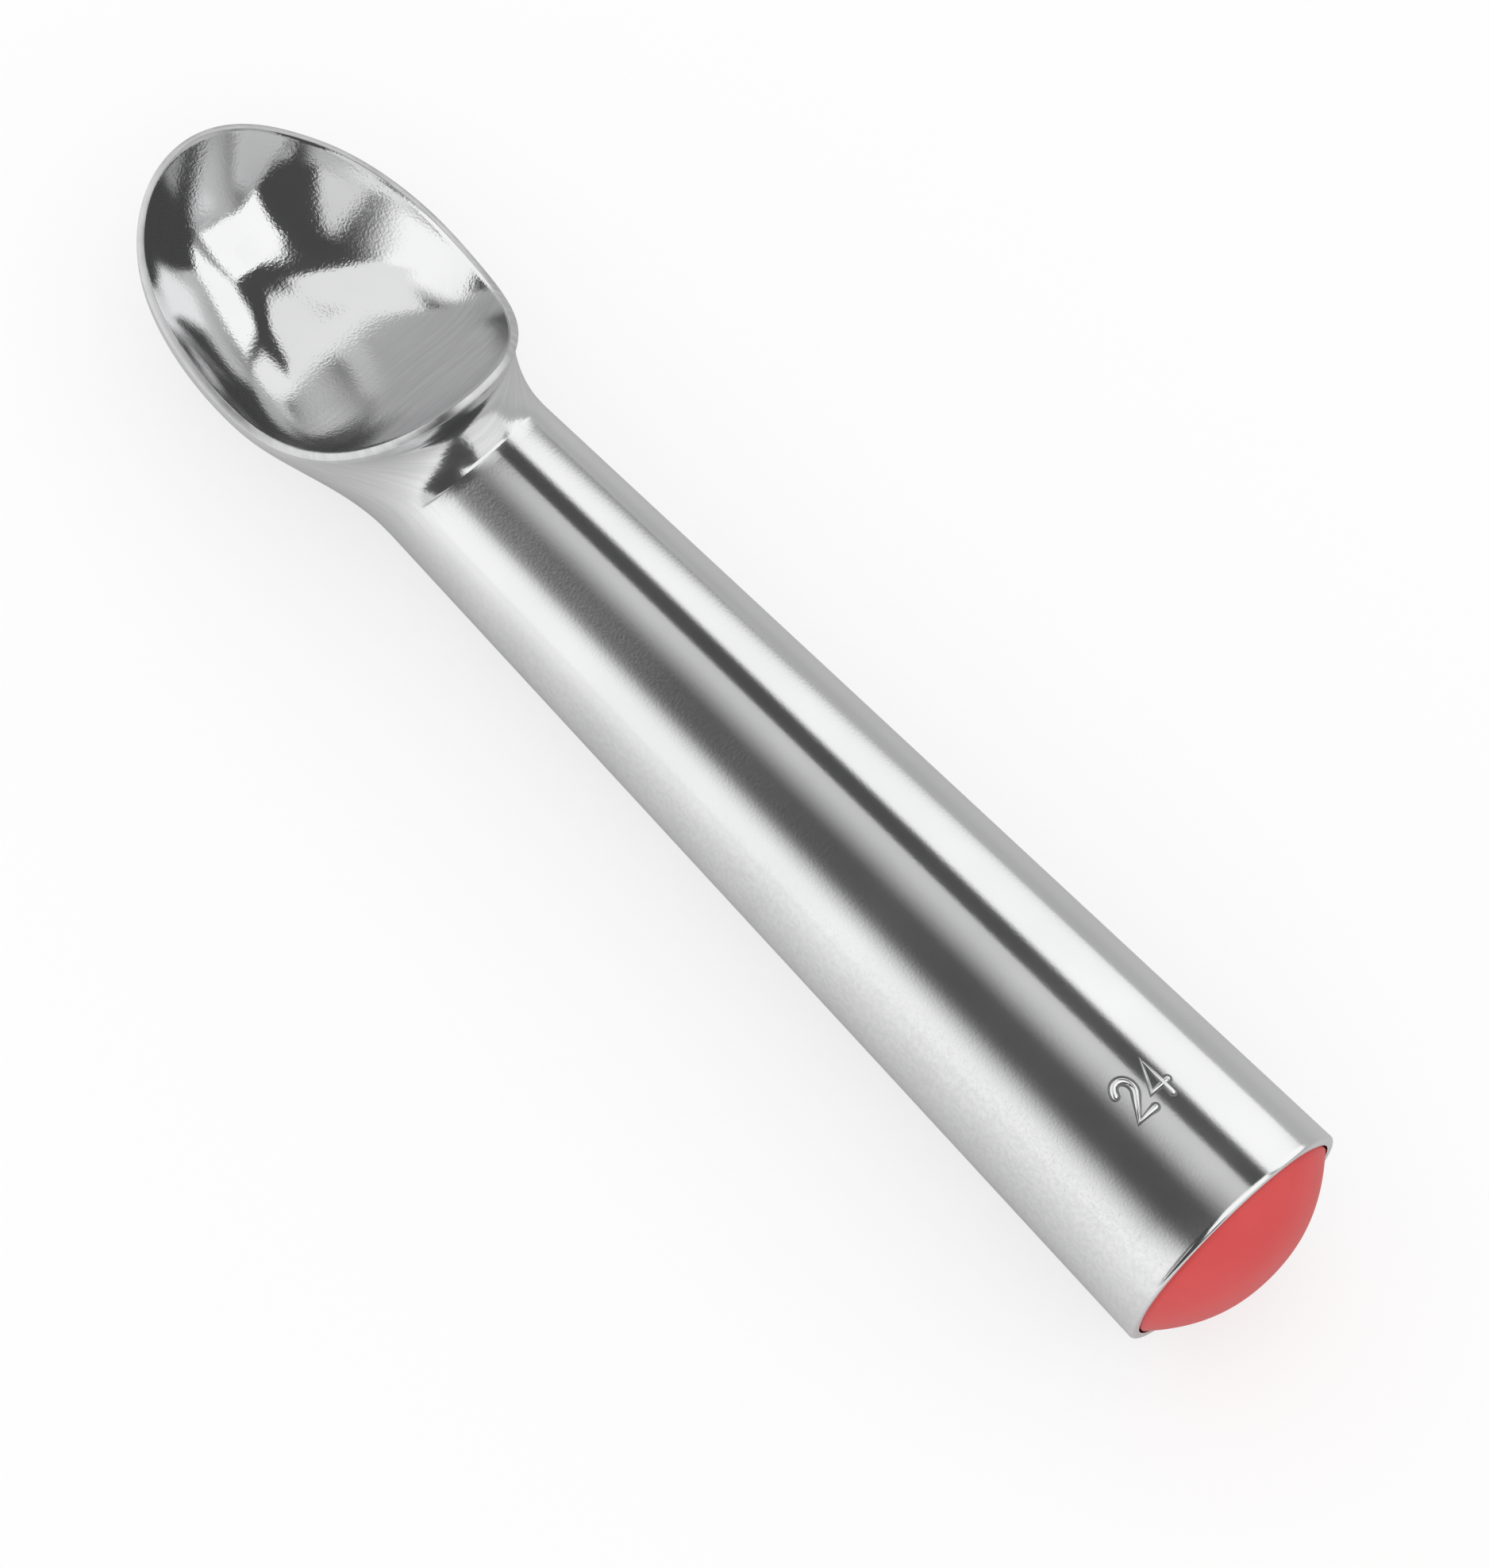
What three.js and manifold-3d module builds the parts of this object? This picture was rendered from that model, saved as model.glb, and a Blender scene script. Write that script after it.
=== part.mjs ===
// Ice cream scoop of the roll type: one aluminium casting makes the egg-shaped bowl, the neck and a hollow
// tapered handle. The handle holds a fluid that carries the hand's warmth to the bowl. A plug with a rubber
// ring seals the fluid in, and a coloured cap closes the handle's mouth. Nothing moves in use.
// Millimetres, +Z up. The scoop lies on its back, bowl open upwards, handle along +X.
import * as THREE from "three";
import { mergeVertices } from "three/addons/utils/BufferGeometryUtils.js";
import Module from "manifold-3d";

// Handle: lengths run from the bowl's tip along the handle's axis
const overallLength = 178;
const neckFromTip = 48.4;
const neckSlant = 3;
const neckRadius = 11.3;
const handleEndRadius = 15.8;
const endChamfer = 0.5;

// Bowl opening: an oval seen from above, whose rim climbs towards the neck
const openingLength = 46.8;
const openingHalfWidth = 16.25;
const openingEgg = 0.057;
const openingFullness = 0.124;
const rimHeight = 5.7;
const rimClimb = 16.8;
const climbStart = 26.6;
const climbPower = 2.3;
const tipLift = 3.2;
const tipLiftRun = 9;
const lipWidth = 0.77;
const lipDrop = 0.5;

// Bowl walls: a shallow dish inside, a fuller belly outside; heights are measured from the handle's axis
const bowlFloor = -3.6;
const floorFromTip = 14;
const insideFlare = THREE.MathUtils.degToRad(40);
const insideFullness = 1;
const bellyWall = 3.8;
const bellyFromTip = 18;
const outsideFlare = THREE.MathUtils.degToRad(0.2);
const outsideFullness = 0.724;

// Neck fillet: where it leaves the bowl, on a map of the bowl with its floor at 0 and its rim at 1
const filletCentre = 0.426;
const filletReach = 0.449;
const filletSpread = 0.839;
const filletTopPower = 8.95;
const filletFoot = THREE.MathUtils.degToRad(49);
const filletNeckPull = 6.05;
const filletTopPull = 2.7;
const filletBowlPull = 0.288;

// Hollow of the handle, from the neck to the mouth
const neckPlug = 4;
const fluidWall = 3.4;
const boreChamfer = 2;
const plugBoreWall = 3;
const plugLength = 7;
const mouthWall = 1.15;
const mouthDepth = 7;
const fitGap = 0.3;

// Sealing plug and its ring
const ringTube = 1.2;
const plugRecessRadius = 7;
const plugRecessDepth = 3;

// End cap
const domeHeight = 5.75;
const capWall = 2;

// Fluid
const fluidLevel = 7.5;

// Raised portion number near the handle's end
const digitHeight = 5;
const digitWidth = 2.5;
const digitGap = 0.9;
const digitStroke = 0.66;
const digitRaise = 0.35;
const digitRoot = 0.5;
const digitsFromEnd = 17;

// Fineness of the round shapes
const sides = 64;
const innerSides = 40;
const filletRings = 7;
const bowlRings = 8;
const insideRings = 11;
const domeSteps = 7;
const ringSides = 12;
const strokeEndSteps = 3;
const tangentStep = 0.02;

// Places that follow from the sizes
const handleEnd = overallLength - domeHeight;
const capSeat = handleEnd - mouthDepth;
const plugSeat = capSeat - plugLength - fitGap;
const boreStart = neckFromTip + neckPlug;
const taper = (handleEndRadius - neckRadius) / (handleEnd - neckFromTip);
const mouthRadius = handleEndRadius - mouthWall;
const plugBoreRadius = handleEndRadius - plugBoreWall;
const handleRadiusAt = (x) => neckRadius + (x - neckFromTip) * taper;

const wasm = await Module();
wasm.setup();

// One closed solid from a THREE geometry, and back
function solidFrom(geometry) {
  const bare = geometry.clone();
  bare.deleteAttribute("normal");
  bare.deleteAttribute("uv");
  const merged = mergeVertices(bare, 1e-4);
  return new wasm.Manifold(
    new wasm.Mesh({
      numProp: 3,
      vertProperties: merged.attributes.position.array,
      triVerts: new Uint32Array(merged.index.array),
    }),
  );
}

function geometryFrom(solid) {
  const mesh = solid.getMesh();
  const geometry = new THREE.BufferGeometry();
  geometry.setAttribute("position", new THREE.BufferAttribute(mesh.vertProperties, 3));
  geometry.setIndex(new THREE.BufferAttribute(mesh.triVerts, 1));
  geometry.computeVertexNormals();
  return geometry;
}

// A turned piece: its profile is given as [distance along the axis, radius] and turned about X
function turned(profile, around) {
  const points = profile.map(([along, radius]) => new THREE.Vector2(radius, along));
  return new THREE.LatheGeometry(points, around).rotateZ(-Math.PI / 2);
}

// Angles around the handle, 0 at the top; a flat side faces straight up and straight down
const turns = Array.from({ length: sides }, (_, i) => ((i + 0.5) / sides) * 2 * Math.PI);

function ringAt(x, radius) {
  return turns.map((u) => new THREE.Vector3(x, radius * Math.sin(u), radius * Math.cos(u)));
}

// The rim's edge at angle u, 0 at the neck and half a turn at the tip, set out and down from the inner edge
function rimHeightAt(x) {
  const lift = tipLift * Math.max(0, 1 - x / tipLiftRun) ** 2;
  const climb = Math.max(0, x - climbStart) / (openingLength - climbStart);
  return rimHeight + lift + rimClimb * climb ** climbPower;
}

function rimPoint(u, out, down) {
  const halfLength = openingLength / 2;
  const along = halfLength * (1 + Math.cos(u));
  const swell = 1 + openingEgg * Math.cos(u) + openingFullness * Math.cos(u) ** 2;
  const outward = new THREE.Vector3(Math.cos(u) / halfLength, Math.sin(u) / openingHalfWidth, 0);
  return new THREE.Vector3(lipWidth + along, openingHalfWidth * Math.sin(u) * swell, rimHeightAt(along) - down)
    .addScaledVector(outward.normalize(), out);
}

// The two walls of the bowl: how they leave the rim, and where and how deep their floors lie
const insideShape = { flare: insideFlare, fullness: insideFullness, fromTip: floorFromTip, floor: bowlFloor };
const outsideShape = {
  flare: outsideFlare,
  fullness: outsideFullness,
  fromTip: bellyFromTip,
  floor: bowlFloor - bellyWall,
};

// A point of one of these walls: depth 0 is the rim and 1 the floor, along a quarter of an oval
function wallPoint(rim, depth, { flare, fullness, fromTip, floor }) {
  const turn = flare + depth * (Math.PI / 2 - flare);
  const across = Math.max(0, Math.cos(turn) / Math.cos(flare)) ** fullness;
  const drop = (Math.sin(turn) - Math.sin(flare)) / (1 - Math.sin(flare));
  return new THREE.Vector3(
    THREE.MathUtils.lerp(fromTip, rim.x, across),
    rim.y * across,
    THREE.MathUtils.lerp(rim.z, floor, drop),
  );
}

function insideWall(u, depth) {
  return wallPoint(rimPoint(u, 0, 0), depth, insideShape);
}

function outsideWall(u, depth) {
  return wallPoint(rimPoint(u, lipWidth, lipDrop), depth, outsideShape);
}

// The outer wall as a flat map: the floor at the centre, the rim as a circle of radius 1, the neck along +x
function outsideAt(x, y) {
  return outsideWall(Math.atan2(y, x), Math.max(0, 1 - Math.hypot(x, y)));
}

// Loops on that map, from the edge of the neck's fillet (share 0) to the rim (share 1)
function bowlLoopPoint(u, share) {
  const x = filletCentre + filletReach * Math.cos(u);
  const y = filletSpread * Math.sin(u);
  const lerp = THREE.MathUtils.lerp;
  return outsideAt(lerp(x, Math.cos(u), share), lerp(y, Math.sin(u), share));
}

// The handle starts at a slanted ring, further back at the top than below
function neckPoint(u) {
  const x = neckFromTip + neckSlant * Math.cos(u);
  const radius = handleRadiusAt(x);
  return new THREE.Vector3(x, radius * Math.sin(u), radius * Math.cos(u));
}

// The fillet between the handle and the bowl: a crease across the top, a smooth run at the sides and below
function filletPoint(u, share) {
  const start = neckPoint(u);
  const end = bowlLoopPoint(u, 0);
  const topness = ((1 + Math.cos(u)) / 2) ** filletTopPower;
  const foot = filletFoot * topness;
  const pull = THREE.MathUtils.lerp(filletNeckPull, filletTopPull, topness);
  const outward = new THREE.Vector3(0, Math.sin(u), Math.cos(u));
  const leave = new THREE.Vector3(-Math.cos(foot), 0, 0)
    .addScaledVector(outward, Math.sin(foot) - taper * Math.cos(foot));
  const arrive = bowlLoopPoint(u, tangentStep).sub(end).multiplyScalar(filletBowlPull / tangentStep);
  const curve = new THREE.CubicBezierCurve3(
    start,
    start.clone().addScaledVector(leave, pull),
    end.clone().sub(arrive),
    end,
  );
  return curve.getPoint(share);
}

// A closed skin over rings of points, each end drawn together to one point
function skin(first, rings, last) {
  const points = [first, ...rings.flat(), last];
  const index = [];
  const at = (ring, i) => 1 + ring * sides + (i % sides);
  for (let i = 0; i < sides; i++) {
    index.push(0, at(0, i + 1), at(0, i));
    for (let ring = 0; ring + 1 < rings.length; ring++) {
      index.push(at(ring, i), at(ring + 1, i + 1), at(ring + 1, i));
      index.push(at(ring, i), at(ring, i + 1), at(ring + 1, i + 1));
    }
    index.push(at(rings.length - 1, i), at(rings.length - 1, i + 1), points.length - 1);
  }
  const geometry = new THREE.BufferGeometry().setFromPoints(points);
  geometry.setIndex(index);
  return geometry;
}

// The casting: up the bore, over the mouth, along the handle, round the neck and bowl, over the lip, inside
function castingSkin() {
  const boreRadiusAt = (x) => handleRadiusAt(x) - fluidWall;
  const steps = (count, place) => Array.from({ length: count }, (_, i) => turns.map((u) => place(u, i)));
  const rings = [
    ringAt(boreStart, boreRadiusAt(boreStart) - boreChamfer),
    ringAt(boreStart + boreChamfer, boreRadiusAt(boreStart + boreChamfer)),
    ringAt(plugSeat, boreRadiusAt(plugSeat)),
    ringAt(plugSeat, plugBoreRadius),
    ringAt(capSeat, plugBoreRadius),
    ringAt(capSeat, mouthRadius),
    ringAt(handleEnd, mouthRadius),
    ringAt(handleEnd, handleEndRadius - endChamfer),
    ringAt(handleEnd - endChamfer, handleRadiusAt(handleEnd - endChamfer)),
    turns.map(neckPoint),
    ...steps(filletRings, (u, i) => filletPoint(u, (i + 1) / filletRings)),
    ...steps(bowlRings, (u, i) => bowlLoopPoint(u, (i + 1) / bowlRings)),
    ...steps(insideRings, (u, i) => insideWall(u, i / insideRings)),
  ];
  const boreEnd = new THREE.Vector3(boreStart, 0, 0);
  return skin(boreEnd, rings, new THREE.Vector3(floorFromTip, 0, bowlFloor));
}

// The number 24 in plain strokes; each digit fills a box one unit wide and one unit tall
function digitStrokes() {
  const bow = Array.from({ length: 6 }, (_, i) => {
    const turn = Math.PI * (0.92 - 0.24 * i);
    return [0.5 + 0.45 * Math.cos(turn), 0.72 + 0.28 * Math.sin(turn)];
  });
  const two = [...bow, [0.04, 0], [1, 0]];
  const four = [[0.72, 0], [0.72, 1], [0, 0.3], [1, 0.3]];
  return [two, four];
}

// One straight stroke with round ends, standing on the handle's skin
function strokeSolid([x0, y0], [x1, y1]) {
  const half = digitStroke / 2;
  const heading = Math.atan2(y1 - y0, x1 - x0);
  const shape = new THREE.Shape();
  shape.absarc(x1, y1, half, heading - Math.PI / 2, heading + Math.PI / 2);
  shape.absarc(x0, y0, half, heading + Math.PI / 2, heading + 1.5 * Math.PI);
  const flat = new THREE.ExtrudeGeometry(shape, {
    depth: digitRoot + digitRaise,
    bevelEnabled: false,
    curveSegments: strokeEndSteps,
  });
  const place = flat.attributes.position;
  for (let i = 0; i < place.count; i++) {
    const x = handleEnd - digitsFromEnd - place.getY(i);
    const radius = handleRadiusAt(x);
    const turn = place.getX(i) / radius;
    const height = radius - digitRoot + place.getZ(i);
    place.setXYZ(i, x, height * Math.sin(turn), height * Math.cos(turn));
  }
  return solidFrom(flat);
}

function withDigits(body) {
  let made = body;
  digitStrokes().forEach((points, which) => {
    const left = which === 0 ? -digitGap / 2 - digitWidth : digitGap / 2;
    const placed = points.map(([x, y]) => [left + x * digitWidth, (y - 0.5) * digitHeight]);
    for (let i = 0; i + 1 < placed.length; i++) made = made.add(strokeSolid(placed[i], placed[i + 1]));
  });
  return made;
}

// The fluid fills the bore up to a level surface, with an air space above it
function fluidSolid(restTilt) {
  const start = boreStart + fitGap;
  const end = plugSeat - fitGap;
  const radiusAt = (x) => handleRadiusAt(x) - fluidWall - fitGap;
  const whole = turned([
    [start, 0],
    [start, radiusAt(start) - boreChamfer],
    [start + boreChamfer, radiusAt(start + boreChamfer)],
    [end, radiusAt(end)],
    [end, 0],
  ], innerSides);
  const air = new THREE.BoxGeometry(2 * overallLength, 4 * handleEndRadius, 2 * handleEndRadius);
  air.translate(0, 0, handleEndRadius);
  air.rotateY(restTilt);
  air.translate((start + end) / 2, 0, fluidLevel);
  return solidFrom(whole).subtract(solidFrom(air));
}

// The plug seats on the ledge of its bore; a groove round it takes the sealing ring
const plugStart = plugSeat + fitGap;
const plugEnd = plugStart + plugLength - fitGap;
const plugRadius = plugBoreRadius - fitGap;
const ringCentre = plugRadius - ringTube;
const grooveRadius = ringCentre - ringTube - fitGap;
const grooveHalf = ringTube + fitGap;
const ringPlace = (plugStart + plugEnd) / 2;

function plugGeometry() {
  return turned([
    [plugStart, 0],
    [plugStart, plugRadius],
    [ringPlace - grooveHalf, plugRadius],
    [ringPlace - grooveHalf, grooveRadius],
    [ringPlace + grooveHalf, grooveRadius],
    [ringPlace + grooveHalf, plugRadius],
    [plugEnd, plugRadius],
    [plugEnd, plugRecessRadius],
    [plugEnd - plugRecessDepth, plugRecessRadius],
    [plugEnd - plugRecessDepth, 0],
  ], innerSides);
}

function sealRingGeometry() {
  return new THREE.TorusGeometry(ringCentre, ringTube, ringSides, innerSides)
    .rotateY(Math.PI / 2)
    .translate(ringPlace, 0, 0);
}

// The cap: a dome that stands out of the mouth and a skirt that reaches down to the ledge
function capGeometry() {
  const edge = mouthRadius - fitGap;
  const domeRadius = (edge ** 2 + domeHeight ** 2) / (2 * domeHeight);
  const halfAngle = Math.asin(edge / domeRadius);
  const dome = (inset) => Array.from({ length: domeSteps + 1 }, (_, i) => {
    const turn = halfAngle * (1 - i / domeSteps);
    const radius = domeRadius - inset;
    return [overallLength - domeRadius + radius * Math.cos(turn), radius * Math.sin(turn)];
  });
  const inner = dome(capWall).filter(([, radius]) => radius < edge - capWall);
  return turned([
    ...inner.reverse(),
    [handleEnd - capWall, edge - capWall],
    [capSeat + fitGap, edge - capWall],
    [capSeat + fitGap, edge],
    ...dome(0),
  ], sides);
}

// The tilt at which the bowl and the handle's end both touch the table
function restTiltOf(geometry) {
  const place = geometry.attributes.position;
  const lowest = (tilt, isBowl) => {
    let best = null;
    for (let i = 0; i < place.count; i++) {
      const x = place.getX(i);
      const height = place.getZ(i) * Math.cos(tilt) + x * Math.sin(tilt);
      if (x < neckFromTip === isBowl && (!best || height < best.height)) best = { height, x, z: place.getZ(i) };
    }
    return best;
  };
  let tilt = 0;
  for (let round = 0; round < 8; round++) {
    const bowl = lowest(tilt, true);
    const handle = lowest(tilt, false);
    tilt = Math.atan2(bowl.z - handle.z, handle.x - bowl.x);
  }
  return tilt;
}

const polished = new THREE.MeshStandardMaterial({ color: 0xc9cacc, roughness: 0.16, metalness: 1 });
const turnedMetal = new THREE.MeshStandardMaterial({ color: 0xb4b6b8, roughness: 0.35, metalness: 1 });
const redPlastic = new THREE.MeshStandardMaterial({ color: 0xd65757, roughness: 0.35, metalness: 0 });
const blackRubber = new THREE.MeshStandardMaterial({ color: 0x1c1c1c, roughness: 0.75, metalness: 0 });
const warmFluid = new THREE.MeshStandardMaterial({ color: 0x9fc4d8, roughness: 0.1, metalness: 0 });

const axisFrame = new THREE.Group();

function addPiece(name, geometry, material) {
  const mesh = new THREE.Mesh(geometry, material);
  mesh.name = name;
  axisFrame.add(mesh);
}

const casting = withDigits(solidFrom(castingSkin()));
const castingGeometry = geometryFrom(casting);
const restTilt = restTiltOf(castingGeometry);

addPiece("scoop_body", castingGeometry, polished);
addPiece("heat_fluid", geometryFrom(fluidSolid(restTilt)), warmFluid);
addPiece("sealing_plug", plugGeometry(), turnedMetal);
addPiece("plug_seal_ring", sealRingGeometry(), blackRubber);
addPiece("end_cap", capGeometry(), redPlastic);

// The scoop rests on the table, its box centred on the origin
axisFrame.rotation.y = -restTilt;
axisFrame.updateMatrixWorld(true);
const reach = new THREE.Box3().setFromObject(axisFrame, true);
axisFrame.position.set(-(reach.min.x + reach.max.x) / 2, -(reach.min.y + reach.max.y) / 2, -reach.min.z);

const scoop = new THREE.Group();
scoop.add(axisFrame);

export default scoop;
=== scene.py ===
from math import atan2, cos, degrees, hypot, pi, radians, sin

import bmesh
import bpy
from mathutils import Matrix, Vector


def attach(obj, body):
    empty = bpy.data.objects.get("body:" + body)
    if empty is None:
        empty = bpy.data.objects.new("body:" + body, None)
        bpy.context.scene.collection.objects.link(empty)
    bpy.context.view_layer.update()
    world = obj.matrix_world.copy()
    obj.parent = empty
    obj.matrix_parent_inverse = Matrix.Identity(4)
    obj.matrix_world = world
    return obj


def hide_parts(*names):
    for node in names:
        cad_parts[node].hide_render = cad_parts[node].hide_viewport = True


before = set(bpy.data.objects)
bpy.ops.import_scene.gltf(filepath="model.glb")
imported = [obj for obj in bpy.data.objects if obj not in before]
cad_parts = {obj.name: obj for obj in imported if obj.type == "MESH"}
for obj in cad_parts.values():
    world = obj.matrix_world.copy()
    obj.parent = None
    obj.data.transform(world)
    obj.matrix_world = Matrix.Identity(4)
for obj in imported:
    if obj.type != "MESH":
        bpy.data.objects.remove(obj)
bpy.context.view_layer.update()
scene = bpy.context.scene
scene.view_settings.view_transform = "Standard"
print("frame loaded:", ", ".join(sorted(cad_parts)))

# Shapes are worked out in millimetres with x from the bowl's tip along the handle and z out of the bowl.
# The scoop lies on its back, tipped so that the underside of the handle lies along the floor.
mm = 0.001
lie = dict(tipUp=2.07838, shift=(-88.80454, 0.0, 9.52366))
tipped = Matrix.Rotation(-radians(lie["tipUp"]), 4, "Y")
onFloor = Matrix.Translation(Vector(lie["shift"]) * mm) @ tipped @ Matrix.Scale(mm, 4)


def between(a, b, share):
    return a + (b - a) * share


class Wire:
    # one output of a material's nodes; sums on wires add Math nodes
    def __init__(self, tree, socket=None):
        self.tree = tree
        self.socket = socket

    def node(self, kind, settings=None, inputs=None, out=0):
        made = self.tree.nodes.new(kind)
        for key, value in (settings or {}).items():
            setattr(made, key, value)
        for key, value in (inputs or {}).items():
            if isinstance(value, Wire):
                self.tree.links.new(value.socket, made.inputs[key])
            else:
                made.inputs[key].default_value = value
        return Wire(self.tree, made.outputs[out])

    def outlet(self, kind, shader):
        made = self.tree.nodes.new(kind)
        self.tree.links.new(shader.socket, made.inputs["Surface"])

    def maths(self, operation, *values):
        return self.node("ShaderNodeMath", {"operation": operation}, dict(enumerate(values)))

    def __add__(self, other):
        return self.maths("ADD", self, other)

    __radd__ = __add__

    def __sub__(self, other):
        return self.maths("SUBTRACT", self, other)

    def __rsub__(self, other):
        return self.maths("SUBTRACT", other, self)

    def __mul__(self, other):
        return self.maths("MULTIPLY", self, other)

    __rmul__ = __mul__

    def __truediv__(self, other):
        return self.maths("DIVIDE", self, other)

    def ramp(self, low, high):
        # 0 below low, 1 above high, smooth between
        inputs = {"Value": self, "From Min": low, "From Max": high}
        return self.node("ShaderNodeMapRange", {"interpolation_type": "SMOOTHSTEP"}, inputs)

    def noise(self, scale, detail=2.0, rough=0.5):
        return self.node("ShaderNodeTexNoise", None,
                         {"Vector": self, "Scale": scale, "Detail": detail, "Roughness": rough})

    def along(self, axis):
        return self.node("ShaderNodeVectorMath", {"operation": "DOT_PRODUCT"}, {0: self, 1: axis}, out=1)

    def stretched(self, scale):
        return self.node("ShaderNodeVectorMath", {"operation": "MULTIPLY"}, {0: self, 1: scale})

    def tint(self, dark, light):
        # a colour between two, this wire being the share of the second
        return self.node("ShaderNodeMix", {"data_type": "RGBA"}, {0: self, 6: dark, 7: light}, out=2)


def newFinish(name):
    finish = bpy.data.materials.new(name)
    finish.use_nodes = True
    finish.node_tree.nodes.clear()
    wire = Wire(finish.node_tree)
    place = wire.node("ShaderNodeTexCoord", out=3)
    return finish, wire, place


def surface(wire, **inputs):
    # the finish's one shader and its output
    named = {key.replace("_", " "): value for key, value in inputs.items()}
    shader = wire.node("ShaderNodeBsdfPrincipled", None, named)
    wire.outlet("ShaderNodeOutputMaterial", shader)


def clearSelection():
    if bpy.context.object and bpy.context.object.mode != "OBJECT":
        bpy.ops.object.mode_set(mode="OBJECT")
    bpy.ops.object.select_all(action="DESELECT")


# Metal finishes: polished, brushed on the lip, and a dark one that paints shade at the foot of the number
metal = dict(
    colour=(0.91, 0.912, 0.916, 1), shade=(0.78, 0.782, 0.788, 1),
    bowlEnd=-0.047, neckStart=-0.042, handleStart=-0.034, backWall=(-0.06, -0.05), flank=(0.009, 0.0125),
    bowlRough=0.05, handleRough=0.1, neckRough=0.07, cloudRough=0.03, peelRough=0.03, flankRough=0.04,
    cloudScale=60, cloudSpan=(0.3, 0.7), cloudShare=0.4, peelScale=2900, bowlPeel=0.26, handlePeel=0.07,
    pitScale=3200, pitSpan=(0.32, 0.38), pitDepth=0.12,
    sandScale=1700, sandSpan=(0.35, 0.65), sandShade=0.6,
    streakScale=110, streakStretch=(1, 1, 18), streakSpan=(0.3, 0.7), streakRough=0.05, streakShade=0.7,
    coarse=0.6, bumpStrength=0.5, bumpDepth=0.0001,
)


def makePolished():
    m = metal
    finish, wire, place = newFinish("polishedAluminium")
    along = place.along((1, 0, 0))
    onHandle = along.ramp(m["neckStart"], m["handleStart"])
    neck = along.ramp(m["bowlEnd"], m["neckStart"]) * (1 - onHandle)
    backWall = along.ramp(*m["backWall"]) * (1 - onHandle)
    flank = (0 - place.along((0, 1, 0))).ramp(*m["flank"]) * onHandle  # the casting's rougher side
    cloud = place.noise(m["cloudScale"], 3)
    peel = place.noise(m["peelScale"], 2)
    brushing = place.stretched(m["streakStretch"]).noise(m["streakScale"], 3)
    streak = brushing.ramp(*m["streakSpan"]) * backWall
    pits = place.noise(m["pitScale"], 2, m["coarse"]).ramp(*m["pitSpan"]) * flank
    sand = place.noise(m["sandScale"], 3, m["coarse"]).ramp(*m["sandSpan"]) * flank
    rough = m["bowlRough"] + onHandle * (m["handleRough"] - m["bowlRough"]) + neck * m["neckRough"]
    rough = rough + cloud * m["cloudRough"] + peel * m["peelRough"]
    rough = rough + flank * m["flankRough"] + streak * m["streakRough"]
    grain = peel * (m["bowlPeel"] + onHandle * (m["handlePeel"] - m["bowlPeel"]))
    height = grain + pits * m["pitDepth"]
    bump = wire.node("ShaderNodeBump", None,
                     {"Height": height, "Strength": m["bumpStrength"], "Distance": m["bumpDepth"]})
    clean = cloud.ramp(*m["cloudSpan"]) * m["cloudShare"] + (1 - m["cloudShare"])
    clean = clean - streak * m["streakShade"] - sand * m["sandShade"]
    surface(wire, Base_Color=clean.tint(m["shade"], m["colour"]), Metallic=1.0,
            Roughness=rough, Normal=bump)
    return finish


brushed = dict(scale=350, stretch=(1, 1, 4), span=(0.3, 0.7), vary=0.1)


def makeBrushed(name, colour, shade, rough):
    b = brushed
    finish, wire, place = newFinish(name)
    streak = place.stretched(b["stretch"]).noise(b["scale"], 4).ramp(*b["span"])
    surface(wire, Base_Color=streak.tint(shade, colour), Metallic=1.0, Roughness=streak * b["vary"] + rough)
    return finish


def dress(piece, finish):
    piece.data.materials.clear()
    piece.data.materials.append(finish)


polished = makePolished()
brushedLip = makeBrushed("brushedLip", (0.8, 0.802, 0.806, 1), (0.66, 0.662, 0.667, 1), 0.32)
# a dark metal under the number's strokes: painted shade where the raised strokes meet the handle
paintedFootShade = makeBrushed("paintedFootShade", (0.3, 0.301, 0.303, 1), (0.2, 0.201, 0.203, 1), 0.45)


# Ring by ring: a circle is extruded and each new ring is laid on its own outline
class Skin:
    def __init__(self, name, count):
        clearSelection()
        bpy.ops.mesh.primitive_circle_add(vertices=count, radius=mm, enter_editmode=True)
        self.piece = bpy.context.object
        self.piece.name = name
        self.piece.data.name = name
        self.ring = list(range(count))
        self.turns = [(i + 0.5) / count * 2 * pi for i in range(count)]

    def grid(self):
        grid = bmesh.from_edit_mesh(self.piece.data)
        grid.verts.index_update()
        grid.verts.ensure_lookup_table()
        return grid

    def lay(self, place):
        grid = self.grid()
        for index, turn in zip(self.ring, self.turns):
            grid.verts[index].co = onFloor @ place(turn)
        bmesh.update_edit_mesh(self.piece.data)

    def on(self, place):
        bpy.ops.mesh.extrude_region_move(TRANSFORM_OT_translate={"value": (0, 0, 0)})
        grid = self.grid()
        self.ring = [next(edge.other_vert(grid.verts[index]).index for edge in grid.verts[index].link_edges
                          if edge.other_vert(grid.verts[index]).select) for index in self.ring]
        self.lay(place)
        return self.ring

    def close(self):
        bpy.ops.mesh.extrude_region_move(TRANSFORM_OT_translate={"value": (0, 0, 0)})
        bpy.ops.mesh.merge(type="CENTER")

    def pick(self, rings):
        # selects the edges that run along the given rings
        grid = self.grid()
        bpy.ops.mesh.select_all(action="DESELECT")
        bpy.ops.mesh.select_mode(type="EDGE")
        wanted = [set(ring) for ring in rings]
        for edge in grid.edges:
            ends = {vert.index for vert in edge.verts}
            edge.select = any(ends <= ring for ring in wanted)
        bmesh.update_edit_mesh(self.piece.data)


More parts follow.
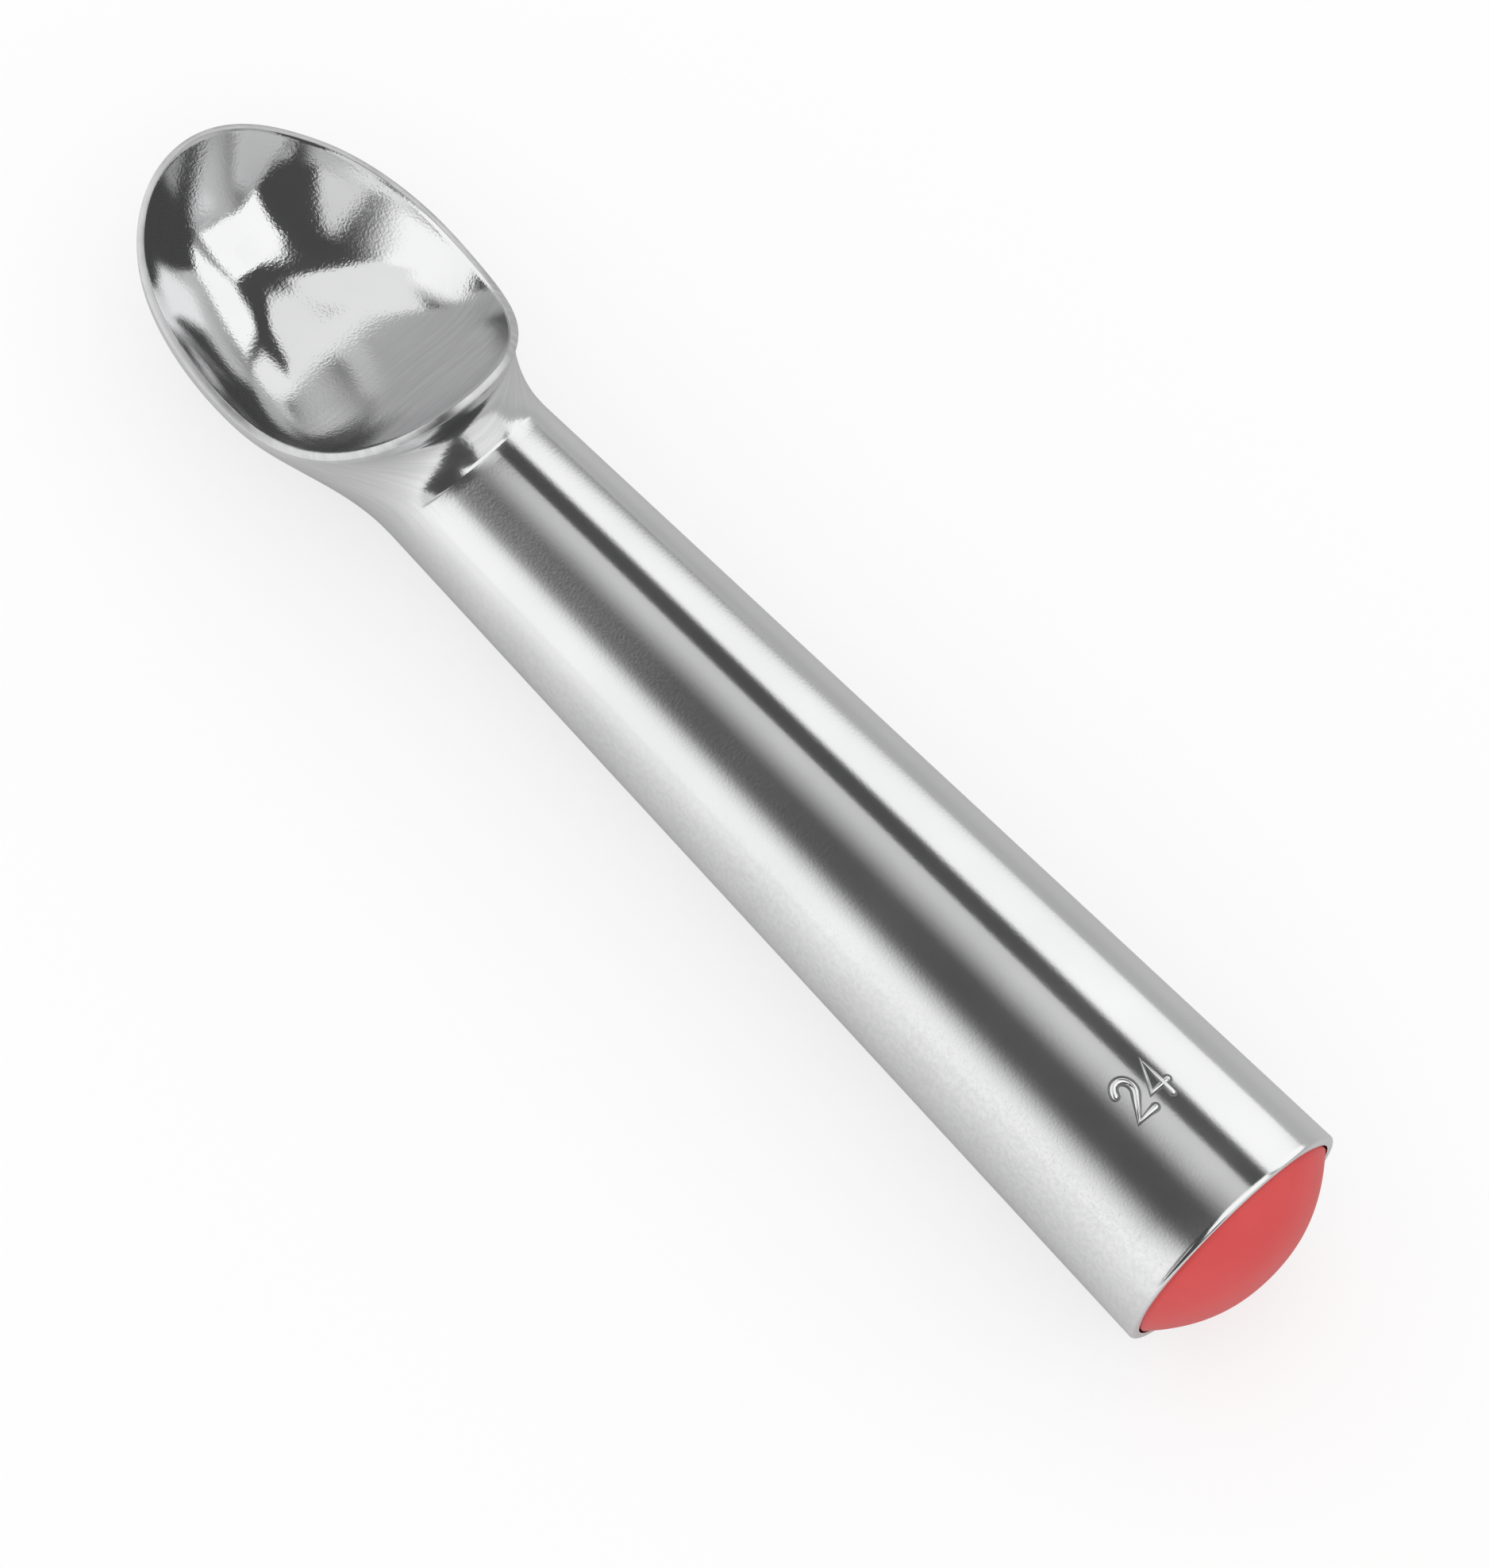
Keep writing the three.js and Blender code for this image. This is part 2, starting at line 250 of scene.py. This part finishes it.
# The casting: bowl, neck and handle in one
casting = dict(
    sides=160, neck=48.4, neckSlant=3.0, neckRadius=11.3, endRadius=15.8, endRound=0.5,
    openingLength=46.8, openingHalfWidth=16.25, egg=0.057, fullness=0.124,
    rimHeight=5.7, rimClimb=16.8, climbStart=26.6, climbPower=2.3, tipLift=3.2, tipLiftRun=9.0,
    lipWidth=0.77, lipDrop=0.5,
    inside=dict(floor=-3.6, fromTip=14.0, flare=radians(40), fullness=1.0),
    outside=dict(floor=-7.4, fromTip=18.0, flare=radians(0.2), fullness=0.724),
    filletCentre=0.426, filletReach=0.449, filletSpread=0.839, filletTopPower=8.95, filletFoot=radians(49),
    neckPull=6.05, topPull=2.7, bowlPull=0.288,
    boreStart=52.4, fluidWall=3.4, boreChamfer=2.0, plugSeat=157.95, plugBore=12.8, capSeat=165.25,
    mouth=14.65, handleEnd=172.25, creaseRound=0.22, lipRound=0.09,
    endSteps=4, handleSteps=24, nearEnds=(0.003, 0.988), filletSteps=24, bowlSteps=22,
    insideSteps=44, insideCrowd=1.33, smooth=radians(38),
)


def handleRadiusAt(x):
    c = casting
    widening = c["endRadius"] - c["neckRadius"]
    return c["neckRadius"] + (x - c["neck"]) * widening / (c["handleEnd"] - c["neck"])


def around(x, radius):
    return lambda u: Vector((x, radius * sin(u), radius * cos(u)))


def rimPoint(u, out, down):
    c = casting
    half = c["openingLength"] / 2
    along = half * (1 + cos(u))
    swell = 1 + c["egg"] * cos(u) + c["fullness"] * cos(u) ** 2
    lift = c["tipLift"] * max(0, 1 - along / c["tipLiftRun"]) ** 2
    climb = max(0, along - c["climbStart"]) / (c["openingLength"] - c["climbStart"])
    height = c["rimHeight"] + lift + c["rimClimb"] * climb ** c["climbPower"] - down
    outward = Vector((cos(u) / half, sin(u) / c["openingHalfWidth"], 0)).normalized()
    return Vector((c["lipWidth"] + along, c["openingHalfWidth"] * sin(u) * swell, height)) + outward * out


def wallPoint(rim, depth, wall):
    turn = wall["flare"] + depth * (pi / 2 - wall["flare"])
    across = max(0, cos(turn) / cos(wall["flare"])) ** wall["fullness"]
    drop = (sin(turn) - sin(wall["flare"])) / (1 - sin(wall["flare"]))
    x = between(wall["fromTip"], rim.x, across)
    return Vector((x, rim.y * across, between(rim.z, wall["floor"], drop)))


def insideWall(u, depth):
    return wallPoint(rimPoint(u, 0, 0), depth, casting["inside"])


def outsideAt(x, y):
    c = casting
    rim = rimPoint(atan2(y, x), c["lipWidth"], c["lipDrop"])
    return wallPoint(rim, max(0, 1 - hypot(x, y)), c["outside"])


def bowlLoop(u, share):
    c = casting
    x = c["filletCentre"] + c["filletReach"] * cos(u)
    y = c["filletSpread"] * sin(u)
    return outsideAt(between(x, cos(u), share), between(y, sin(u), share))


def neckPoint(u):
    x = casting["neck"] + casting["neckSlant"] * cos(u)
    return around(x, handleRadiusAt(x))(u)


def filletPoint(u, share):
    c = casting
    start = neckPoint(u)
    end = bowlLoop(u, 0)
    topness = ((1 + cos(u)) / 2) ** c["filletTopPower"]
    foot = c["filletFoot"] * topness
    taper = handleRadiusAt(1) - handleRadiusAt(0)
    leave = Vector((-cos(foot), 0, 0)) + Vector((0, sin(u), cos(u))) * (sin(foot) - taper * cos(foot))
    little = 0.02
    arrive = (bowlLoop(u, little) - end) * c["bowlPull"] / little
    pulled = start + leave * between(c["neckPull"], c["topPull"], topness)
    back = end - arrive
    rest = 1 - share
    return (start * rest ** 3 + pulled * 3 * rest ** 2 * share
            + back * 3 * rest * share ** 2 + end * share ** 3)


def makeCasting():
    c = casting
    skin = Skin("scoopBody", c["sides"])
    boreAt = lambda x: around(x, handleRadiusAt(x) - c["fluidWall"])
    skin.lay(around(c["boreStart"], handleRadiusAt(c["boreStart"]) - c["fluidWall"] - c["boreChamfer"]))
    bpy.ops.mesh.edge_face_add()  # the bore's blind end
    skin.pick([skin.ring])
    skin.on(boreAt(c["boreStart"] + c["boreChamfer"]))
    skin.on(boreAt(c["plugSeat"]))
    skin.on(around(c["plugSeat"], c["plugBore"]))
    skin.on(around(c["capSeat"], c["plugBore"]))
    skin.on(around(c["capSeat"], c["mouth"]))
    skin.on(around(c["handleEnd"], c["mouth"]))
    edge = c["endRadius"] - c["endRound"]
    for step in range(c["endSteps"] + 1):  # the rounded edge of the handle's end
        turn = step / c["endSteps"] * pi / 2
        x = c["handleEnd"] - c["endRound"] * (1 - cos(turn))
        skin.on(around(x, edge + c["endRound"] * sin(turn)))
    start = c["handleEnd"] - c["endRound"]
    even = (step / c["handleSteps"] for step in range(1, c["handleSteps"]))
    nearEnd, nearNeck = c["nearEnds"]
    for share in (nearEnd, *even, nearNeck, 1):
        ringX = lambda u: between(start, neckPoint(u).x, share)
        crease = skin.on(lambda u: around(ringX(u), handleRadiusAt(ringX(u)))(u))
    for step in range(2, c["filletSteps"] + 1):
        skin.on(lambda u: filletPoint(u, step / c["filletSteps"]))
    for step in range(1, c["bowlSteps"] + 1):
        outerLip = skin.on(lambda u: bowlLoop(u, step / c["bowlSteps"]))
    innerLip = skin.on(lambda u: insideWall(u, 0))
    for step in range(1, c["insideSteps"]):
        skin.on(lambda u: insideWall(u, 1 - (1 - step / c["insideSteps"]) ** c["insideCrowd"]))
    skin.close()
    return skin, crease, outerLip, innerLip


skin, crease, outerLip, innerLip = makeCasting()
scoopBody = skin.piece
dress(scoopBody, polished)
scoopBody.data.materials.append(brushedLip)
lipVerts = set(outerLip + innerLip)
grid = skin.grid()
for face in grid.faces:
    if lipVerts.issuperset(vert.index for vert in face.verts):
        face.material_index = 1
bmesh.update_edit_mesh(scoopBody.data)
skin.pick([outerLip, innerLip])
bpy.ops.mesh.bevel(offset=casting["lipRound"] * mm, segments=2, affect="EDGES", material=1)
skin.pick([crease])  # after the lip: a bevel renumbers the rings that come later
bpy.ops.mesh.bevel(offset=casting["creaseRound"] * mm, segments=4, affect="EDGES")
bpy.ops.mesh.select_all(action="SELECT")
bpy.ops.mesh.normals_make_consistent(inside=False)
bpy.ops.object.mode_set(mode="OBJECT")
bpy.ops.object.shade_smooth_by_angle(angle=casting["smooth"])
print("casting:", len(scoopBody.data.polygons), "faces")

# The portion number, in rounded strokes that stand on the handle
number = dict(height=5.0, width=2.5, gap=0.9, bead=0.4, flat=0.8, lift=0.03, foot=0.62, footFlat=0.16,
              fromEnd=17.0, roundSteps=4, weld=0.000005, smooth=radians(60))


def makeStroke(flat, bead, squash):
    # a round-ended bead along the flat outline, then wrapped on the handle
    n = number
    clearSelection()
    bpy.ops.curve.primitive_nurbs_path_add(location=(0, 0, 0))
    stroke = bpy.context.object
    stroke.data.splines.clear()
    stroke.data.bevel_depth = bead
    stroke.data.bevel_resolution = n["roundSteps"]
    stroke.data.use_fill_caps = True
    line = stroke.data.splines.new("POLY")
    head = (flat[0] - flat[1]).normalized() * bead
    tail = (flat[-1] - flat[-2]).normalized() * bead
    ends = ((0.998, 0.06), (0.87, 0.5), (0.5, 0.87))  # reach and width of the rounded ends
    knots = [(flat[0] + head * reach, wide) for reach, wide in ends]
    knots += [(place, 1) for place in flat]
    knots += [(flat[-1] + tail * reach, wide) for reach, wide in reversed(ends)]
    line.points.add(len(knots) - 1)
    for knot, (place, wide) in zip(line.points, knots):
        knot.co = (*place, 1)
        knot.radius = wide
    bpy.ops.object.convert(target="MESH")
    stroke = bpy.context.object
    for vert in stroke.data.vertices:
        across, up, high = vert.co
        x = casting["handleEnd"] - n["fromEnd"] - up
        radius = handleRadiusAt(x)
        vert.co = onFloor @ around(x, radius + n["lift"] + high * squash)(across / radius)
    return stroke


def makeNumber():
    n = number
    turns = [pi * (0.92 - 0.08 * i) for i in range(16)]
    two = [(0.5 + 0.45 * cos(turn), 0.72 + 0.28 * sin(turn)) for turn in turns]
    two += [(0.04, 0.0), (1.0, 0.0)]
    four = [(0.72, 0.0), (0.72, 1.0), (0.0, 0.3), (1.0, 0.3)]
    made, feet = [], []
    for points, left in ((two, -n["gap"] / 2 - n["width"]), (four, n["gap"] / 2)):
        flat = [Vector((left + x * n["width"], (y - 0.5) * n["height"], 0)) for x, y in points]
        made.append(makeStroke(flat, n["bead"], n["flat"]))
        dress(made[-1], polished)
        # a wider, flatter dark stroke under each: painted shade along the foot of the strokes
        feet.append(makeStroke(flat, n["foot"], n["footFlat"]))
        dress(feet[-1], paintedFootShade)
    return made, feet


strokes, feet = makeNumber()
clearSelection()
for stroke in strokes + feet:
    stroke.select_set(True)
    bpy.context.view_layer.objects.active = stroke
    bpy.ops.object.mode_set(mode="EDIT")
    bpy.ops.mesh.select_all(action="SELECT")
    bpy.ops.mesh.remove_doubles(threshold=number["weld"])
    bpy.ops.mesh.normals_make_consistent(inside=False)
    bpy.ops.object.mode_set(mode="OBJECT")
    bpy.ops.object.shade_smooth_by_angle(angle=number["smooth"])
scoopBody.select_set(True)
bpy.context.view_layer.objects.active = scoopBody
bpy.ops.object.join()
print("number added:", len(scoopBody.data.polygons), "faces")

# The end cap: a dome over the handle's mouth, with a skirt pushed into it
cap = dict(sides=128, edge=14.35, rise=5.75, fuller=2.3, wall=2.0, skirtFoot=165.55, skirtTop=0.6,
           innerLess=0.6, pole=0.02, innerReach=0.8, innerSteps=8, domeReach=0.985, domeSteps=28,
           smooth=radians(50))


def makeCap():
    c = cap
    end = casting["handleEnd"]
    skin = Skin("endCap", c["sides"])
    inner = c["edge"] - c["wall"]
    domeAt = lambda share, less: around(end + c["rise"] * (1 - share ** c["fuller"]) - less,
                                        (c["edge"] - less * c["innerLess"]) * share)
    skin.lay(domeAt(c["pole"], c["wall"]))
    bpy.ops.mesh.edge_face_add()
    skin.pick([skin.ring])
    for step in range(1, c["innerSteps"] + 1):
        skin.on(domeAt(c["pole"] + c["innerReach"] * step / c["innerSteps"], c["wall"]))
    skin.on(around(end - c["wall"], inner))
    skin.on(around(c["skirtFoot"], inner))
    skin.on(around(c["skirtFoot"], c["edge"]))
    skin.on(around(end - c["skirtTop"], c["edge"]))
    for step in range(c["domeSteps"] + 1):
        share = 1 - c["domeReach"] * (step / c["domeSteps"])
        skin.on(domeAt(share, 0))
    skin.close()
    bpy.ops.mesh.select_all(action="SELECT")
    bpy.ops.mesh.normals_make_consistent(inside=False)
    bpy.ops.object.mode_set(mode="OBJECT")
    bpy.ops.object.shade_smooth_by_angle(angle=c["smooth"])
    return skin.piece


endCap = makeCap()
print("end cap:", len(endCap.data.polygons), "faces")

plastic = dict(colour=(0.72, 0.066, 0.066, 1), pale=(0.74, 0.078, 0.078, 1), rough=0.38, roughVary=0.08,
               cloudScale=90, cloudSpan=(0.35, 0.65), grainScale=2600, bumpStrength=0.08, bumpDepth=0.00003)


def makeRedPlastic():
    p = plastic
    finish, wire, place = newFinish("redPlastic")
    cloud = place.noise(p["cloudScale"], 2)
    grain = place.noise(p["grainScale"], 1)
    bump = wire.node("ShaderNodeBump", None,
                     {"Height": grain, "Strength": p["bumpStrength"], "Distance": p["bumpDepth"]})
    surface(wire, Base_Color=cloud.ramp(*p["cloudSpan"]).tint(p["colour"], p["pale"]),
            Roughness=cloud * p["roughVary"] + p["rough"], Normal=bump)
    return finish


dress(endCap, makeRedPlastic())

# The three inner pieces keep their shapes
inner = dict(
    heat_fluid=dict(name="warmFluid", colour=(0.35, 0.55, 0.68, 1), shade=(0.32, 0.51, 0.64, 1),
                    metallic=0.0, rough=0.05, scale=120),
    sealing_plug=dict(name="turnedAluminium", colour=(0.72, 0.73, 0.74, 1), shade=(0.62, 0.63, 0.64, 1),
                      metallic=1.0, rough=0.25, scale=800),
    plug_seal_ring=dict(name="blackRubber", colour=(0.022, 0.022, 0.022, 1), shade=(0.012, 0.012, 0.012, 1),
                        metallic=0.0, rough=0.6, scale=1500),
)
innerVary = dict(span=(0.3, 0.7), rough=0.15)


def makeInner(name, colour, shade, metallic, rough, scale):
    finish, wire, place = newFinish(name)
    cloud = place.noise(scale, 3)
    surface(wire, Base_Color=cloud.ramp(*innerVary["span"]).tint(shade, colour), Metallic=metallic,
            Roughness=cloud * innerVary["rough"] + rough)
    return finish


for node, looks in inner.items():
    dress(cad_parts[node], makeInner(**looks))

for piece, node, slot in ((scoopBody, "scoop_body", "polished_aluminium"),
                          (endCap, "end_cap", "red_plastic")):
    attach(piece, "root")
    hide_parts(node)
print("finishes set")

# Floor: white to the camera, and it keeps the shadow; to the metal it has painted shade, darker towards the
# far side
paper = dict(size=6, light=(0.9, 0.9, 0.9, 1), dim=(0.45, 0.45, 0.45, 1), fade=(-0.14, 0.12),
             plain=(0.98, 0.98, 0.98, 1), whiter=0.66)
clearSelection()
bpy.ops.mesh.primitive_plane_add(size=paper["size"])
floor = bpy.context.object
floor.name = "floor"


def makePaper():
    finish, wire, place = newFinish("whitePaper")
    seen = wire.node("ShaderNodeLightPath", out="Is Camera Ray")
    across = place.along((0, 1, 0))
    # painted shade: the floor's colour falls from light to dim across it, seen only in reflections
    shade = across.ramp(*paper["fade"]).tint(paper["light"], paper["dim"])
    matt = wire.node("ShaderNodeBsdfDiffuse", None, {"Color": shade})
    white = wire.node("ShaderNodeEmission")
    plain = wire.node("ShaderNodeBsdfDiffuse", None, {"Color": paper["plain"]})
    lit = wire.node("ShaderNodeMixShader", None, {0: paper["whiter"], 1: plain, 2: white})
    sheet = wire.node("ShaderNodeMixShader", None, {0: seen, 1: matt, 2: lit})
    wire.outlet("ShaderNodeOutputMaterial", sheet)
    return finish


dress(floor, makePaper())

# Studio: an even white light all round, and in the metal a dark room with soft panels.
# Corners are degrees from straight up, (towards the cap, towards the far side), in turn to the left.
studio = dict(light=1.0, dark=0.065, secondLook=(1.2, 1.8), panels=(
    dict(name="leftWall", tone=1.0, soft=9, corners=(
        (-110, 20), (-110, -110), (4, -110), (-6, -80), (-19, -44))),
    dict(name="leftPanel", tone=0.82, soft=2.5, corners=(
        (-88, 26), (-82, 10), (-60, -20), (-42, -43), (-21.8, -44),
        (-21, -12), (-23, 2), (-28, 15), (-38, 25))),
    dict(name="leftPanelEnd", tone=0.82, soft=2, corners=((-95, 34), (-95, 15), (-54, 16), (-61, 33))),
    dict(name="farLeftPanel", tone=0.88, soft=3, corners=(
        (-90, 24), (-70, 28), (-50, 36), (-36, 46), (-30, 60), (-25, 80), (-24, 110), (-110, 110))),
    dict(name="dimBand", tone=0.3, soft=2, corners=((10, 38), (62, 40), (62, 62), (10, 50))),
    dict(name="farPanel", tone=1.03, soft=4, corners=(
        (-29, 44), (-12, 41), (16, 45), (52, 53), (110, 70), (110, 110), (-20, 110), (-24, 70))),
    dict(name="ceilingBox", tone=1.05, soft=2, corners=(
        (-8, 41), (-11, 20), (-13, 5), (-12, -8), (-5, -19), (3, -26), (61, -27), (61, 43))),
    dict(name="nearWedge", tone=0.68, soft=1.5, corners=((-9, -42), (4, -110), (52, -110))),
    dict(name="capPanel", tone=0.85, soft=3, corners=((66, 2), (120, 2), (120, 90), (60, 66))),
), again=(  # what metal seen in metal shows
    dict(name="nearGrey", tone=0.46, soft=5, corners=(
        (-90, 14), (-90, -70), (8, -70), (10, -14), (-10, -4), (-26, 12), (-60, 15))),
    dict(name="spill", tone=0.6, soft=4, corners=((-2, -38), (22, -38), (22, -14), (10, -4), (0, -14))),
    dict(name="brightPatch", tone=0.95, soft=3, corners=(
        (3, 14), (16, 12), (28, 22), (30, 60), (4, 60))),
))


def paintRoom(panels, east, north):
    tone = studio["dark"]
    for panel in panels:
        corners = panel["corners"]
        inside = 1.0
        for (ax, ay), (bx, by) in zip(corners, corners[1:] + corners[:1]):
            side = Vector((ay - by, bx - ax)).normalized()
            depth = east * side.x + north * side.y - (ax * side.x + ay * side.y)
            inside = depth.ramp(-panel["soft"], panel["soft"]) * inside
        tone = inside * (panel["tone"] - tone) + tone
    return tone


def makeStudio():
    room = bpy.data.worlds.new("studio")
    scene.world = room
    room.cycles.sampling_method = "NONE"
    room.use_nodes = True
    room.node_tree.nodes.clear()
    wire = Wire(room.node_tree)
    way = wire.node("ShaderNodeTexCoord", out=0)
    x, y, z = (way.along(axis) for axis in ((1, 0, 0), (0, 1, 0), (0, 0, 1)))
    level = 1.000001 - z * z  # just over nothing straight up
    spread = z.maths("ARCCOSINE", z) * degrees(1) / level.maths("POWER", level, 0.5)
    east, north = x * spread, y * spread
    once = paintRoom(studio["panels"], east, north)
    twice = paintRoom(studio["again"], east, north)
    deeper = wire.node("ShaderNodeLightPath", out="Glossy Depth").ramp(*studio["secondLook"])
    tone = once + deeper * (twice - once)
    inMetal = wire.node("ShaderNodeLightPath", out="Is Glossy Ray")
    shine = inMetal * tone + (1 - inMetal) * studio["light"]
    glow = wire.node("ShaderNodeBackground", None, {"Color": (1, 1, 1, 1), "Strength": shine})
    wire.outlet("ShaderNodeOutputWorld", glow)


# A half-clear white scrim over the handle, seen only in the metal
scrim = dict(height=0.25, middle=(-0.03, 0.0), size=(0.18, 0.25), thin=-0.09, thick=0.06,
             edge=0.093, soft=0.007, cover=0.58)


def makeScrim():
    s = scrim
    clearSelection()
    bpy.ops.mesh.primitive_plane_add(size=1, location=(*s["middle"], s["height"]))
    sheet = bpy.context.object
    sheet.name = "scrim"
    sheet.scale = (*s["size"], 1)
    bpy.ops.object.transform_apply(location=True, rotation=False, scale=True)
    sheet.visible_camera = False
    sheet.visible_diffuse = False
    sheet.visible_shadow = False
    finish, wire, place = newFinish("whiteScrim")
    across = place.along((0, 1, 0))
    past = across.ramp(s["edge"] - s["soft"], s["edge"] + s["soft"])
    cover = across.ramp(s["thin"], s["thick"]) * s["cover"] * (1 - past)
    clear = wire.node("ShaderNodeBsdfTransparent")
    white = wire.node("ShaderNodeEmission")
    veil = wire.node("ShaderNodeMixShader", None, {0: cover, 1: clear, 2: white})
    wire.outlet("ShaderNodeOutputMaterial", veil)
    dress(sheet, finish)


makeStudio()
makeScrim()
print("studio: %d panels" % len(studio["panels"]))

# Camera: the photograph's angles of the handle, seen from 1.4 m
look = dict(distance=1400.0, turn=45.128, tip=10.9, roll=17.5, aim=(89.0, 0.0, 0.0), aside=(-3.325, -7.33),
            focalPixels=15688.0, tallPixels=1975.0, sensor=36, clipEnd=20)


def makeCamera():
    v = look
    turn, tip, roll = radians(v["turn"]), radians(v["tip"]), radians(v["roll"])
    along = Vector((cos(turn) * cos(tip), sin(turn) * cos(tip), -sin(tip)))
    beside = Vector((-sin(turn), cos(turn), 0))
    nearer = Vector((0, 0, -1))
    out = (nearer - along * nearer.dot(along)).normalized()
    up = out * cos(roll) - beside * sin(roll)
    across = up.cross(along)
    toScoop = Matrix((along, across, up))
    eye = Vector(v["aim"]) - toScoop @ Vector((*v["aside"], v["distance"]))
    axes = Matrix([toScoop @ Vector(axis) for axis in ((1, 0, 0), (0, -1, 0), (0, 0, -1))])
    data = bpy.data.cameras.new("camera")
    data.sensor_width = v["sensor"]
    data.lens = v["sensor"] * v["focalPixels"] / v["tallPixels"]
    camera = bpy.data.objects.new("camera", data)
    scene.collection.objects.link(camera)
    turned = (tipped.to_3x3() @ axes.transposed()).to_4x4()
    camera.matrix_world = Matrix.Translation(onFloor @ eye) @ turned
    data.clip_end = v["clipEnd"]
    scene.camera = camera


makeCamera()
print("camera at", [round(v, 3) for v in scene.camera.location])
